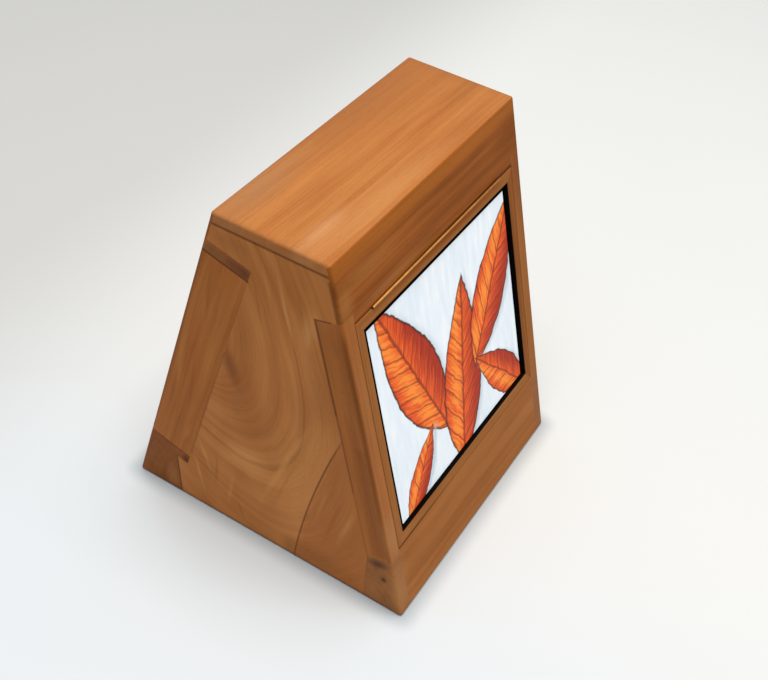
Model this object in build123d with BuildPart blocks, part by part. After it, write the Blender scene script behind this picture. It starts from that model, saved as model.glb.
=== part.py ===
from build123d import *
import os
from math import atan, cos, hypot, sin, tan

# A ditty box with upright end walls and a front and a rear that lean towards each other.
# A door in the front hangs from a continuous hinge and carries a framed picture panel.
# Sizes are in millimetres: +X runs along the box, -Y is the front and +Z is up, from the
# middle of the base. A reach is measured up a slope from the bottom edge, and a depth is
# measured square into the wood from the outer face.

# ---- the whole box ----
box_length = 240.0
box_height = 300.0
base_depth = 250.0
top_depth = 88.0
wall = 12.5
floor_thickness = 9.0
arris_radius = 2.2
eased_edge = 0.4

# ---- laps at the corners ----
top_lip = 8.3             # thickness of the top board where it runs over an end wall
rail_lap = 2.5            # thickness of a top rail where it runs over an end wall

# ---- front opening and posts ----
sill_reach = 60.5
front_rail_width = 49.8   # top rail, from the opening to the top arris
front_post_width = 20.5
front_post_over = 7.0     # how far a post runs up past the opening
front_post_under = 3.0    # how far it runs down past the sill

# ---- rear posts, keys and corner blocks ----
rear_rail_width = 23.9    # top rail, from the upper keys to the top arris
rear_post_reach = 61.0
rear_post_width = 38.3
key_height = 9.5
rear_block_top = 28.4
rear_block_base = 43.3

# ---- door ----
side_gap = 0.5
sill_gap = 1.0
stop_clearance = 0.3      # between the closed door and its stops
frame_side_width = 7.5
frame_bottom_width = 8.9
frame_top_width = 8.6
liner_thickness = 0.8
liner_step = 0.3          # how far the liner's edge lies under the door's face
picture_side_gap = 4.5    # from the frame to the picture, with the liner in it
picture_bottom_gap = 2.7
picture_top_gap = 4.6
picture_setback = 2.5
picture_thickness = 3.5
backing_thickness = 3.0
backing_lap = 3.5
backing_screw_bite = 3.0
backing_screw_inset = 48.0    # from a corner of the recess to the nearest screw

# ---- door stops ----
stop_width = 6.0
stop_thickness = 6.0
sill_stop_rise = 5.0
sill_stop_drop = 15.0

# ---- hinge ----
hinge_length = 175.0
leaf_thickness = 0.7
leaf_width = 9.5
leaf_play = 0.2           # between the two folded leaves
barrel_radius = 1.05
barrel_proud = 0.4        # how far the hinge's axis stands out of the face
barrel_clearance = 0.25
knuckle_count = 14
knuckle_gap = 0.2
pin_radius = 0.5
pin_clearance = 0.05

# ---- countersunk screws ----
hinge_screw_count = 5
hinge_screw_inset = 12.5      # from an end of the hinge to the nearest screw
hinge_screw_length = 5.0
screw_head_radius = 1.5
screw_shank_radius = 0.8
screw_hole_clearance = 0.02
countersink_angle = 90.0

# ---- worked out from the sizes above ----
tilt = atan((base_depth - top_depth) / 2 / box_height)
slope_length = hypot((base_depth - top_depth) / 2, box_height)
wall_inner = box_length / 2 - wall
opening_top = slope_length - front_rail_width
front_post_bottom = sill_reach - front_post_under
front_post_top = opening_top + front_post_over
upper_key_top = slope_length - rear_rail_width
rear_post_top = upper_key_top - key_height
lower_key_bottom = rear_post_reach - key_height
lip_height = box_height - top_lip

hinge_gap = 2 * leaf_thickness + leaf_play
axis_reach = opening_top - hinge_gap / 2
barrel_room = barrel_radius + barrel_clearance
knuckle_pitch = hinge_length / knuckle_count
hinge_screw_pitch = (hinge_length - 2 * hinge_screw_inset) / (hinge_screw_count - 1)
hinge_screw_depth = (barrel_room + leaf_width) / 2 - barrel_proud

door_thickness = wall - stop_clearance
door_half = wall_inner - side_gap
door_bottom = sill_reach + sill_gap
door_top = opening_top - hinge_gap
recess_half = door_half - frame_side_width
recess_bottom = door_bottom + frame_bottom_width
recess_top = door_top - frame_top_width
recess_height = recess_top - recess_bottom
recess_middle = (recess_bottom + recess_top) / 2
backing_front = picture_setback + picture_thickness
backing_back = backing_front + backing_thickness

head_height = screw_head_radius - screw_shank_radius
backing_screw_length = backing_thickness + backing_screw_bite
screw_hole = screw_shank_radius + screw_hole_clearance
screw_countersink = screw_head_radius + screw_hole_clearance

# ---- working planes ----
front_slope = Plane(
    origin=(0, -base_depth / 2, 0), x_dir=(1, 0, 0), z_dir=(0, -cos(tilt), sin(tilt))
)
slope_out = Axis((0, 0, 0), front_slope.z_dir)

# The hinge's cross-section at its left end: x into the wood, y up the slope.
hinge_section = Plane(
    origin=front_slope.from_local_coords((-hinge_length / 2, axis_reach, barrel_proud)),
    x_dir=-front_slope.z_dir,
    z_dir=(1, 0, 0),
)

# The faces that the screws' heads are flush with, with z out of the heads.
fixed_leaf_heads = Plane(
    origin=front_slope.from_local_coords((0, opening_top - leaf_thickness, -hinge_screw_depth)),
    x_dir=(1, 0, 0),
    z_dir=-front_slope.y_dir,
)
door_leaf_heads = Plane(
    origin=front_slope.from_local_coords((0, door_top + leaf_thickness, -hinge_screw_depth)),
    x_dir=(1, 0, 0),
    z_dir=front_slope.y_dir,
)
backing_heads = Plane(
    origin=front_slope.from_local_coords((0, recess_middle, -backing_back)),
    x_dir=(1, 0, 0),
    z_dir=-front_slope.z_dir,
)


def screw_places(heads, *grids):
    """Places of screws in grids on the plane of their heads."""
    return [heads.location * place for grid in grids for place in grid]


hinge_screw_grid = GridLocations(hinge_screw_pitch, 0, hinge_screw_count, 1)
fixed_leaf_screws = screw_places(fixed_leaf_heads, hinge_screw_grid)
door_leaf_screws = screw_places(door_leaf_heads, hinge_screw_grid)
backing_edge_screws = screw_places(
    backing_heads,
    GridLocations(2 * recess_half + backing_lap, recess_height - 2 * backing_screw_inset, 2, 2),
    GridLocations(2 * (recess_half - backing_screw_inset), recess_height + backing_lap, 2, 2),
)


def front_at(reach, depth):
    """Y and Z of a point by its reach up the front slope and its depth."""
    y = -base_depth / 2 + reach * sin(tilt) + depth * cos(tilt)
    return (y, reach * cos(tilt) - depth * sin(tilt))


def front_level(height, depth):
    """Y and Z of a point by its height and its depth from the front slope."""
    return (-base_depth / 2 + height * tan(tilt) + depth / cos(tilt), height)


def top_mitre(depth):
    """Y and Z of a point on the front top mitre, as deep under the top as under the front."""
    return front_level(box_height - depth, depth)


def to_rear(point):
    """The same point on the rear side."""
    return (-point[0], point[1])


def both_slopes(points):
    """The points with their rear twins, in order round an outline."""
    return points + [to_rear(point) for point in reversed(points)]


def end_view(points, x=0):
    """Face through the points of the end view, in the plane at x."""
    with BuildSketch(Plane.YZ.offset(x)) as sketch:
        with BuildLine():
            Polyline(*points, close=True)
        make_face()
    return sketch.sketch


def slope_rectangle(left, right, bottom, top, depth=0):
    """Rectangle parallel to the front slope, at a depth."""
    with BuildSketch(front_slope.offset(-depth)) as sketch:
        with Locations(((left + right) / 2, (bottom + top) / 2)):
            Rectangle(right - left, top - bottom)
    return sketch.sketch


os.makedirs("parts", exist_ok=True)


# ---- the closed box as one shape, which gives the outer pieces their rounded arrises ----
with BuildPart() as box_shape:
    corners = [front_level(0, 0), front_level(box_height, 0)]
    extrude(end_view(both_slopes(corners)), amount=box_length / 2, both=True)
    fillet(box_shape.edges(), arris_radius)
    extrude(
        slope_rectangle(-wall_inner, wall_inner, sill_reach, opening_top),
        amount=-wall,
        mode=Mode.SUBTRACT,
    )
    front_face = box_shape.faces().filter_by(GeomType.PLANE).sort_by(slope_out)[-1]
    fillet(front_face.inner_wires()[0].edges(), eased_edge)


# ---- top board: full thickness between the end walls, and a lip over each of them ----
with BuildPart() as top_board:
    board = [top_mitre(0), top_mitre(wall)]
    extrude(end_view(both_slopes(board)), amount=wall_inner, both=True)
    lip = [top_mitre(0), top_mitre(rail_lap), front_level(lip_height, rail_lap)]
    for side in (-1, 1):
        extrude(end_view(both_slopes(lip), side * wall_inner), amount=side * wall)
    add(box_shape.part, mode=Mode.INTERSECT)
top_board.part.label = "top_board"
export_step(top_board.part, "parts/top_board.step")


# ---- front top rail, hollowed for the hinge's barrel and bored for its screws ----
with BuildPart() as front_top_rail:
    rail = [
        front_at(opening_top, 0), top_mitre(0), top_mitre(wall), front_at(opening_top, wall),
    ]
    extrude(end_view(rail), amount=wall_inner, both=True)
    lap = [
        front_at(front_post_top, 0), top_mitre(0), top_mitre(rail_lap),
        front_at(front_post_top, rail_lap),
    ]
    extrude(end_view(lap), amount=box_length / 2, both=True)
    add(box_shape.part, mode=Mode.INTERSECT)
    with BuildSketch(hinge_section.offset(-barrel_clearance)):
        Circle(barrel_room)
    extrude(amount=hinge_length + 2 * barrel_clearance, mode=Mode.SUBTRACT)
    with Locations(*fixed_leaf_screws):
        Hole(screw_hole, hinge_screw_length)
front_top_rail.part.label = "front_top_rail"
export_step(front_top_rail.part, "parts/front_top_rail.step")


# ---- front bottom rail ----
with BuildPart() as front_bottom_rail:
    rail = [
        front_level(0, 0), front_at(sill_reach, 0), front_at(sill_reach, wall),
        front_level(0, wall),
    ]
    extrude(end_view(rail), amount=wall_inner, both=True)
    add(box_shape.part, mode=Mode.INTERSECT)
front_bottom_rail.part.label = "front_bottom_rail"
export_step(front_bottom_rail.part, "parts/front_bottom_rail.step")


# ---- rear: a top rail that laps the end walls, a bottom rail and a panel between them ----
def rear_section(bottom, top, depth):
    """Section of a rear piece between two points of its outer face and two inner ones."""
    return [to_rear(point) for point in (bottom(0), top(0), top(depth), bottom(depth))]


def upper_key_level(depth):
    """Y and Z of a point level with the top of the upper keys."""
    return front_at(upper_key_top, depth)


def lower_key_level(depth):
    """Y and Z of a point level with the bottom of the lower keys."""
    return front_at(lower_key_bottom, depth)


def base_level(depth):
    """Y and Z of a point on the base."""
    return front_level(0, depth)


with BuildPart() as rear_top_rail:
    extrude(end_view(rear_section(upper_key_level, top_mitre, wall)), amount=wall_inner, both=True)
    lap = rear_section(upper_key_level, top_mitre, rail_lap)
    extrude(end_view(lap), amount=box_length / 2, both=True)
    add(box_shape.part, mode=Mode.INTERSECT)
rear_top_rail.part.label = "rear_top_rail"
export_step(rear_top_rail.part, "parts/rear_top_rail.step")

with BuildPart() as rear_bottom_rail:
    extrude(end_view(rear_section(base_level, lower_key_level, wall)), amount=wall_inner, both=True)
    add(box_shape.part, mode=Mode.INTERSECT)
rear_bottom_rail.part.label = "rear_bottom_rail"
export_step(rear_bottom_rail.part, "parts/rear_bottom_rail.step")

with BuildPart() as rear_panel:
    panel = rear_section(lower_key_level, upper_key_level, wall)
    extrude(end_view(panel), amount=wall_inner, both=True)
rear_panel.part.label = "rear_panel"
export_step(rear_panel.part, "parts/rear_panel.step")


# ---- bottom panel, level with the bottom of the walls ----
with BuildPart() as bottom_panel:
    panel = [front_level(0, wall), front_level(floor_thickness, wall)]
    extrude(end_view(both_slopes(panel)), amount=wall_inner, both=True)
bottom_panel.part.label = "bottom_panel"
export_step(bottom_panel.part, "parts/bottom_panel.step")


# ---- end walls: a panel with posts, keys and corner blocks let into its edges ----
front_post = [
    front_at(front_post_bottom, 0), front_at(front_post_top, 0),
    front_at(front_post_top, front_post_width), front_at(front_post_bottom, front_post_width),
]
front_block_line = front_post[-1][0]
front_corner_block = [base_level(0), front_post[0], front_post[-1], (front_block_line, 0)]


def rear_piece(bottom, top):
    """Outline of a piece as wide as the rear post, between two reaches."""
    return [
        to_rear(point) for point in (
            front_at(bottom, 0), front_at(top, 0), front_at(top, rear_post_width),
            front_at(bottom, rear_post_width),
        )
    ]


rear_post = rear_piece(rear_post_reach, rear_post_top)
rear_upper_key = rear_piece(rear_post_top, upper_key_top)
rear_lower_key = rear_piece(lower_key_bottom, rear_post_reach)
rear_block_foot = (base_depth / 2 - rear_block_base, 0)
rear_block_head = to_rear(lower_key_level(rear_block_top))
rear_corner_block = [
    to_rear(base_level(0)), to_rear(lower_key_level(0)), rear_block_head, rear_block_foot,
]
end_panel = [
    (front_block_line, 0), front_post[-1], front_post[-2], front_at(front_post_top, rail_lap),
    front_level(lip_height, rail_lap), to_rear(front_level(lip_height, rail_lap)),
    to_rear(upper_key_level(rail_lap)), rear_upper_key[-2], rear_lower_key[-1],
    rear_block_head, rear_block_foot,
]
end_wall = {
    "end_panel": end_panel,
    "front_post": front_post,
    "front_corner_block": front_corner_block,
    "rear_post": rear_post,
    "rear_upper_key": rear_upper_key,
    "rear_lower_key": rear_lower_key,
    "rear_corner_block": rear_corner_block,
}

for hand, side in (("left", -1), ("right", 1)):
    for piece, outline in end_wall.items():
        with BuildPart() as wall_piece:
            extrude(end_view(outline, side * wall_inner), amount=side * wall)
            add(box_shape.part, mode=Mode.INTERSECT)
        wall_piece.part.label = f"{hand}_{piece}"
        export_step(wall_piece.part, f"parts/{hand}_{piece}.step")


# ---- stops that the closed door rests on ----
with BuildPart() as sill_stop:
    stop_bottom = sill_reach - sill_stop_drop
    stop_top = sill_reach + sill_stop_rise
    extrude(
        slope_rectangle(-wall_inner, wall_inner, stop_bottom, stop_top, wall),
        amount=-stop_thickness,
    )
sill_stop.part.label = "sill_stop"
export_step(sill_stop.part, "parts/sill_stop.step")

for hand, side in (("left", -1), ("right", 1)):
    with BuildPart() as door_stop:
        inner, outer = sorted((side * wall_inner, side * (wall_inner - stop_width)))
        extrude(
            slope_rectangle(inner, outer, stop_top, opening_top, wall), amount=-stop_thickness
        )
    door_stop.part.label = f"{hand}_door_stop"
    export_step(door_stop.part, f"parts/{hand}_door_stop.step")


# ---- continuous hinge ----
def hinge_leaf(label, side, first_knuckle, places):
    """A leaf on one side of the axis, with every second knuckle and its countersunk holes."""
    edge = Align.MIN if side > 0 else Align.MAX
    with BuildPart() as leaf:
        with BuildSketch(hinge_section):
            with Locations((barrel_room, side * leaf_play / 2)):
                Rectangle(leaf_width - barrel_room, leaf_thickness, align=(Align.MIN, edge))
        extrude(amount=hinge_length)
        for knuckle in range(first_knuckle, knuckle_count, 2):
            with BuildSketch(hinge_section.offset(knuckle * knuckle_pitch + knuckle_gap / 2)):
                Circle(barrel_radius)
                with Locations((0, side * leaf_play / 2)):
                    Rectangle(barrel_room, leaf_thickness, align=(Align.MIN, edge))
                Circle(pin_radius + pin_clearance, mode=Mode.SUBTRACT)
            extrude(amount=knuckle_pitch - knuckle_gap)
        with Locations(*places):
            CounterSinkHole(screw_hole, screw_countersink, leaf_thickness, countersink_angle)
    leaf.part.label = label
    export_step(leaf.part, f"parts/{label}.step")


hinge_leaf("hinge_fixed_leaf", 1, 0, fixed_leaf_screws)
hinge_leaf("hinge_door_leaf", -1, 1, door_leaf_screws)

with BuildPart() as hinge_pin:
    with BuildSketch(hinge_section):
        Circle(pin_radius)
    extrude(amount=hinge_length)
hinge_pin.part.label = "hinge_pin"
export_step(hinge_pin.part, "parts/hinge_pin.step")


# ---- door frame: its rabbet, holes and barrel groove, then four members with mitred ends ----
with BuildPart() as frame_shape:
    extrude(slope_rectangle(-door_half, door_half, door_bottom, door_top), amount=-door_thickness)
    extrude(
        slope_rectangle(-recess_half, recess_half, recess_bottom, recess_top),
        amount=-door_thickness,
        mode=Mode.SUBTRACT,
    )
    extrude(
        slope_rectangle(
            -recess_half - backing_lap, recess_half + backing_lap,
            recess_bottom - backing_lap, recess_top + backing_lap, backing_front,
        ),
        amount=backing_front - door_thickness,
        mode=Mode.SUBTRACT,
    )
    with BuildSketch(hinge_section.offset(-barrel_clearance)):
        Circle(barrel_room)
    extrude(amount=hinge_length + 2 * barrel_clearance, mode=Mode.SUBTRACT)
    with Locations(*door_leaf_screws):
        Hole(screw_hole, hinge_screw_length)
    with Locations(*backing_edge_screws):
        Hole(screw_hole, backing_screw_length)

door_corners = {
    "bottom_left": ((-door_half, door_bottom), (-recess_half, recess_bottom)),
    "bottom_right": ((door_half, door_bottom), (recess_half, recess_bottom)),
    "top_left": ((-door_half, door_top), (-recess_half, recess_top)),
    "top_right": ((door_half, door_top), (recess_half, recess_top)),
}
members = {
    "door_left_stile": ("bottom_left", "top_left"),
    "door_right_stile": ("bottom_right", "top_right"),
    "door_bottom_rail": ("bottom_left", "bottom_right"),
    "door_top_rail": ("top_left", "top_right"),
}
for label, (start, end) in members.items():
    with BuildPart() as member:
        with BuildSketch(front_slope):
            with BuildLine():
                Polyline(
                    door_corners[start][0], door_corners[end][0],
                    door_corners[end][1], door_corners[start][1], close=True,
                )
            make_face()
        extrude(amount=-door_thickness)
        front_edges = member.edges().group_by(slope_out)[-1]
        fillet(front_edges.sort_by(SortBy.LENGTH)[-2:], eased_edge)
        add(frame_shape.part, mode=Mode.INTERSECT)
    member.part.label = label
    export_step(member.part, f"parts/{label}.step")


# ---- liner of the recess, picture and its backing ----
with BuildPart() as recess_liner:
    extrude(
        slope_rectangle(-recess_half, recess_half, recess_bottom, recess_top, liner_step),
        amount=liner_step - backing_front,
    )
    extrude(
        slope_rectangle(
            -recess_half + liner_thickness, recess_half - liner_thickness,
            recess_bottom + liner_thickness, recess_top - liner_thickness, liner_step,
        ),
        amount=liner_step - backing_front,
        mode=Mode.SUBTRACT,
    )
recess_liner.part.label = "recess_liner"
export_step(recess_liner.part, "parts/recess_liner.step")

with BuildPart() as picture_panel:
    extrude(
        slope_rectangle(
            -recess_half + picture_side_gap, recess_half - picture_side_gap,
            recess_bottom + picture_bottom_gap, recess_top - picture_top_gap, picture_setback,
        ),
        amount=-picture_thickness,
    )
    fillet(picture_panel.edges().group_by(slope_out)[-1], eased_edge)
picture_panel.part.label = "picture_panel"
export_step(picture_panel.part, "parts/picture_panel.step")

with BuildPart() as picture_backing:
    extrude(
        slope_rectangle(
            -recess_half - backing_lap, recess_half + backing_lap,
            recess_bottom - backing_lap, recess_top + backing_lap, backing_front,
        ),
        amount=-backing_thickness,
    )
    with Locations(*backing_edge_screws):
        CounterSinkHole(screw_hole, screw_countersink, backing_thickness, countersink_angle)
picture_backing.part.label = "picture_backing"
export_step(picture_backing.part, "parts/picture_backing.step")


# ---- screws ----
flush = (Align.CENTER, Align.CENTER, Align.MAX)
for label, places, length in (
    ("hinge_fixed_screws", fixed_leaf_screws, hinge_screw_length),
    ("hinge_door_screws", door_leaf_screws, hinge_screw_length),
    ("backing_screws", backing_edge_screws, backing_screw_length),
):
    with BuildPart() as screws:
        with Locations(*places):
            Cylinder(screw_shank_radius, length, align=flush)
            Cone(screw_shank_radius, screw_head_radius, head_height, align=flush)
    screws.part.label = label
    export_step(screws.part, f"parts/{label}.step")
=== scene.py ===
from math import atan, cos, degrees, hypot, radians, sin

import bpy
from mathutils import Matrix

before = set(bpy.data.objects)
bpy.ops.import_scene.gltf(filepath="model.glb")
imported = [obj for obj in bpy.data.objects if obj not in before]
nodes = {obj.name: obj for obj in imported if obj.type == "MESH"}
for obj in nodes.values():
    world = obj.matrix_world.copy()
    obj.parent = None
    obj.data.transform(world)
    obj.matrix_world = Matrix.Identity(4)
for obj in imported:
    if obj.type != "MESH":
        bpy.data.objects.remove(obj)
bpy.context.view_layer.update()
print("frame loaded:", len(nodes), "nodes")

# Sizes in millimetres, as in the CAD
boxHeight = 300
baseDepth = 250
topDepth = 88
endFace = 120                # from the middle of the box to the outer face of an end wall
slope = atan((baseDepth - topDepth) / 2 / boxHeight)
slopeAngle = degrees(slope)
sillReach = 61.3             # up the front slope to the gap under the door
hingeReach = 260.14          # up the front slope to the hinge's axis
hingeProud = 0.4             # the axis stands this far out of the slope


# Y and Z of a point by its reach up the front slope and its depth from the face
def frontAt(reach, depth):
    y = -baseDepth / 2 + reach * sin(slope) + depth * cos(slope)
    return (y, reach * cos(slope) - depth * sin(slope))


# The same on the rear slope
def rearAt(reach, depth):
    y, z = frontAt(reach, depth)
    return (-y, z)


# Linear RGBA of an sRGB hex colour
def toLinear(hexColour):
    channels = [int(hexColour[i:i + 2], 16) / 255 for i in (1, 3, 5)]
    return tuple(c / 12.92 if c <= 0.04045 else ((c + 0.055) / 1.055) ** 2.4 for c in channels) + (1.0,)


def toRadians(angles):
    return [radians(angle) for angle in angles]


# Adds a node with its settings and its links or values, and gives back one of its outputs.
# By number, Map Range has "from" at 1 and 2 and "to" at 3 and 4; Mix has its colours at 6 and 7
# and gives their mix at 2.
def addNode(tree, kind, settings=None, links=None, output=0):
    node = tree.nodes.new("ShaderNode" + kind)
    for name, value in (settings or {}).items():
        setattr(node, name, value)
    for socket, source in (links or {}).items():
        if isinstance(source, bpy.types.NodeSocket):
            tree.links.new(source, node.inputs[socket])
        else:
            node.inputs[socket].default_value = source
    return node.outputs[output] if node.outputs else None


# Settings and ranges that many nodes share
smooth = {"interpolation_type": "SMOOTHSTEP"}
mixed = {"data_type": "RGBA"}
multiplied = {"data_type": "RGBA", "blend_type": "MULTIPLY"}
fromNoise = {1: 0.3, 2: 0.7}                     # most of a noise's values lie between these
signed = {**fromNoise, 3: -1.0, 4: 1.0}


def newMaterial(name):
    material = bpy.data.materials.new(name)
    material.use_nodes = True
    material.node_tree.nodes.clear()
    return material, material.node_tree


def dress(nodeName, material):
    mesh = nodes[nodeName].data
    mesh.materials.clear()
    mesh.materials.append(material)
    for face in mesh.polygons:
        face.material_index = 0


# A finish's name, such as cherryFrontPostLeft
def finishName(first, words):
    return first + "".join(word.title() for word in words.split("_"))


# Grain directions, as turns that bring the grain to X and the face's outward side to Z
grainAcross = (0, 0, 0)                          # along the box, face up
grainUp = (0, 90, 0)                             # up an end wall
grainFront = (slopeAngle - 90, 0, 0)             # along the box, on the front slope
grainRear = (90 - slopeAngle, 0, 0)
grainFrontPost = (slopeAngle, 90, 0)             # up the front slope
grainRearPost = (-slopeAngle, 90, 0)
grainKey = (-slopeAngle - 90, 0, 0)

# Marks on the wood, in mm; the seam lines among them also draw painted shade
throughBox = 500             # half size of a mark that goes through both ends of the box
markDeep = 60                # half size of a mark into the top or an end wall
lineOverrun = 1.5            # a seam runs on past its ends by this, fading
lineEdge = 12.0              # how sharply it fades there, as a power
slopeMarkDeep = 5            # half size of a mark into the front slope
levelLineSize = (throughBox, 20, 0.9)
glueAndShadeTint = "#4E2A12"
endSkin = {1: 118.0, 2: 119.4}                   # seams show only this far out from the box's middle


# A soft mark by its middle and half sizes. Its core is at full strength, and it can wander with the grain.
def smudge(at, size, strength, tint, turn=(0, 0, 0), wander=0, core=0.0):
    return {
        "at": at, "size": size, "strength": strength, "tint": tint,
        "turn": turn, "wander": wander, "core": core,
    }


# One on the top board, by its place along the box and from front to rear
def topSmudge(along, rearward, length, width, strength, tint, turn=0, wander=0, core=0.0):
    at, size = (along, rearward, boxHeight), (length, width, markDeep)
    return smudge(at, size, strength, tint, (0, 0, turn), wander, core)


# One on the front slope, by its place across and up, its half width and half height
def frontSmudge(across, reach, width, height, strength, tint, wander=4):
    at, size = (across, *frontAt(reach, 0)), (width, slopeMarkDeep, height)
    return smudge(at, size, strength, tint, (-slopeAngle, 0, 0), wander)


# One on the left end wall, by its Y and Z
def leftSmudge(place, width, height, strength, tint, turn=0, wander=0, core=0.0):
    at, size = (-endFace, *place), (markDeep, width, height)
    return smudge(at, size, strength, tint, (turn, 0, 0), wander, core)


# The same on both end walls
def endSmudge(place, width, height, strength, tint, turn=0, wander=0, core=0.0):
    at, size = (0, *place), (throughBox, width, height)
    return smudge(at, size, strength, tint, (turn, 0, 0), wander, core)


# A soft streak on the left end wall, from its upper end to its lower one
def streak(upper, lower, width, strength, tint, wander=6):
    across, up = upper[0] - lower[0], upper[1] - lower[1]
    middle = ((upper[0] + lower[0]) / 2, (upper[1] + lower[1]) / 2)
    height = 0.6 * hypot(across, up)             # a little more than half, as the ends fade
    return leftSmudge(middle, width, height, strength, tint, -degrees(atan(across / up)), wander)


# A dark line or band on the end walls: a glue line between two pieces, or painted shade along an edge
def seamOrShade(start, end, width, strength, tint=glueAndShadeTint, core=0.35):
    across, up = end[0] - start[0], end[1] - start[1]
    turn = degrees(atan(up / across)) if across else 90
    middle = ((start[0] + end[0]) / 2, (start[1] + end[1]) / 2)
    length = hypot(across, up) / 2 + lineOverrun
    line = endSmudge(middle, length, width, strength, tint, turn, core=core)
    return dict(line, box=True, endsOnly=True)


# A glue line level along the box, on a slope that leans by an angle; it also draws painted shade in the gap
# under the door
def levelSeamOrShade(place, lean, strength):
    line = smudge((0, *place), levelLineSize, strength, glueAndShadeTint, (lean, 0, 0), core=0.2)
    return dict(line, box=True)


# Lays a mark over a colour: a soft ellipse, or a box or a ring where it says so
def addMark(tree, colour, mark, mm, wander, clouds):
    stray = (0, mark["wander"], mark["wander"])
    spot = addNode(tree, "VectorMath", {"operation": "MULTIPLY_ADD"}, {0: wander, 1: stray, 2: mm})
    spot = addNode(tree, "Mapping", {"vector_type": "TEXTURE"}, {
        0: spot, "Location": mark["at"], "Rotation": toRadians(mark["turn"]), "Scale": mark["size"],
    })
    if mark.get("box"):
        spot = addNode(tree, "VectorMath", {"operation": "ABSOLUTE"}, {0: spot})
        ends = addNode(tree, "SeparateXYZ", {}, {0: spot}, "Y")
        ends = addNode(tree, "Math", {"operation": "POWER"}, {0: ends, 1: lineEdge})
        spot = addNode(tree, "SeparateXYZ", {}, {0: spot}, "Z")
        spot = addNode(tree, "Math", {"operation": "MAXIMUM"}, {0: spot, 1: ends})
    else:
        spot = addNode(tree, "VectorMath", {"operation": "LENGTH"}, {0: spot}, "Value")
    if "ring" in mark:
        spot = addNode(tree, "Math", {"operation": "SUBTRACT"}, {0: spot, 1: 1.0})
        spot = addNode(tree, "Math", {"operation": "ABSOLUTE"}, {0: spot})
        spot = addNode(tree, "Math", {"operation": "DIVIDE"}, {0: spot, 1: mark["ring"]})
    spot = addNode(tree, "MapRange", smooth, {
        0: spot, 1: mark["core"], 2: 1.0, 3: mark["strength"], 4: 0.0,
    })
    if mark.get("endsOnly"):
        skin = addNode(tree, "SeparateXYZ", {}, {0: mm}, "X")
        skin = addNode(tree, "Math", {"operation": "ABSOLUTE"}, {0: skin})
        skin = addNode(tree, "MapRange", {}, {0: skin, **endSkin})
        spot = addNode(tree, "Math", {"operation": "MULTIPLY"}, {0: spot, 1: skin})
    if "patchy" in mark:
        patches = addNode(tree, "MapRange", {}, {
            0: clouds, 1: -1.0, 2: 1.0, 3: 1 - mark["patchy"], 4: 1.0,
        })
        spot = addNode(tree, "Math", {"operation": "MULTIPLY"}, {0: spot, 1: patches})
    return addNode(tree, "Mix", mixed, {0: spot, 6: colour, 7: toLinear(mark["tint"])}, 2)


# Lays a single dark ring over a colour, with its own tones on both sides of it
def addVein(tree, colour, vein, mm):
    # It bends up the face: its Y is minus (start + lean * z + bend * z squared)
    up = addNode(tree, "SeparateXYZ", {}, {0: mm}, "Z")
    across = addNode(tree, "SeparateXYZ", {}, {0: mm}, "Y")
    bend = addNode(tree, "Math", {"operation": "MULTIPLY_ADD"}, {0: up, 1: vein["bend"], 2: vein["lean"]})
    bend = addNode(tree, "Math", {"operation": "MULTIPLY_ADD"}, {0: bend, 1: up, 2: vein["start"]})
    offset = addNode(tree, "Math", {"operation": "ADD"}, {0: across, 1: bend})
    line = addNode(tree, "Math", {"operation": "ABSOLUTE"}, {0: offset})
    line = addNode(tree, "MapRange", smooth, {0: line, **vein["line"]})
    fade = addNode(tree, "MapRange", smooth, {0: up, **vein["fade"]})
    line = addNode(tree, "Math", {"operation": "MULTIPLY"}, {0: line, 1: fade})
    beyond = addNode(tree, "MapRange", smooth, {0: offset, **vein["beyond"]})
    inside = addNode(tree, "MapRange", smooth, {0: offset, **vein["inside"]})
    before = addNode(tree, "Math", {"operation": "GREATER_THAN"}, {0: offset, 1: 0.0})
    for factor in (before, fade):
        inside = addNode(tree, "Math", {"operation": "MULTIPLY"}, {0: inside, 1: factor})
    for factor, tint in ((beyond, "beyondTint"), (inside, "insideTint"), (line, "lineTint")):
        colour = addNode(tree, "Mix", mixed, {0: factor, 6: colour, 7: toLinear(vein[tint])}, 2)
    return colour


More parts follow.
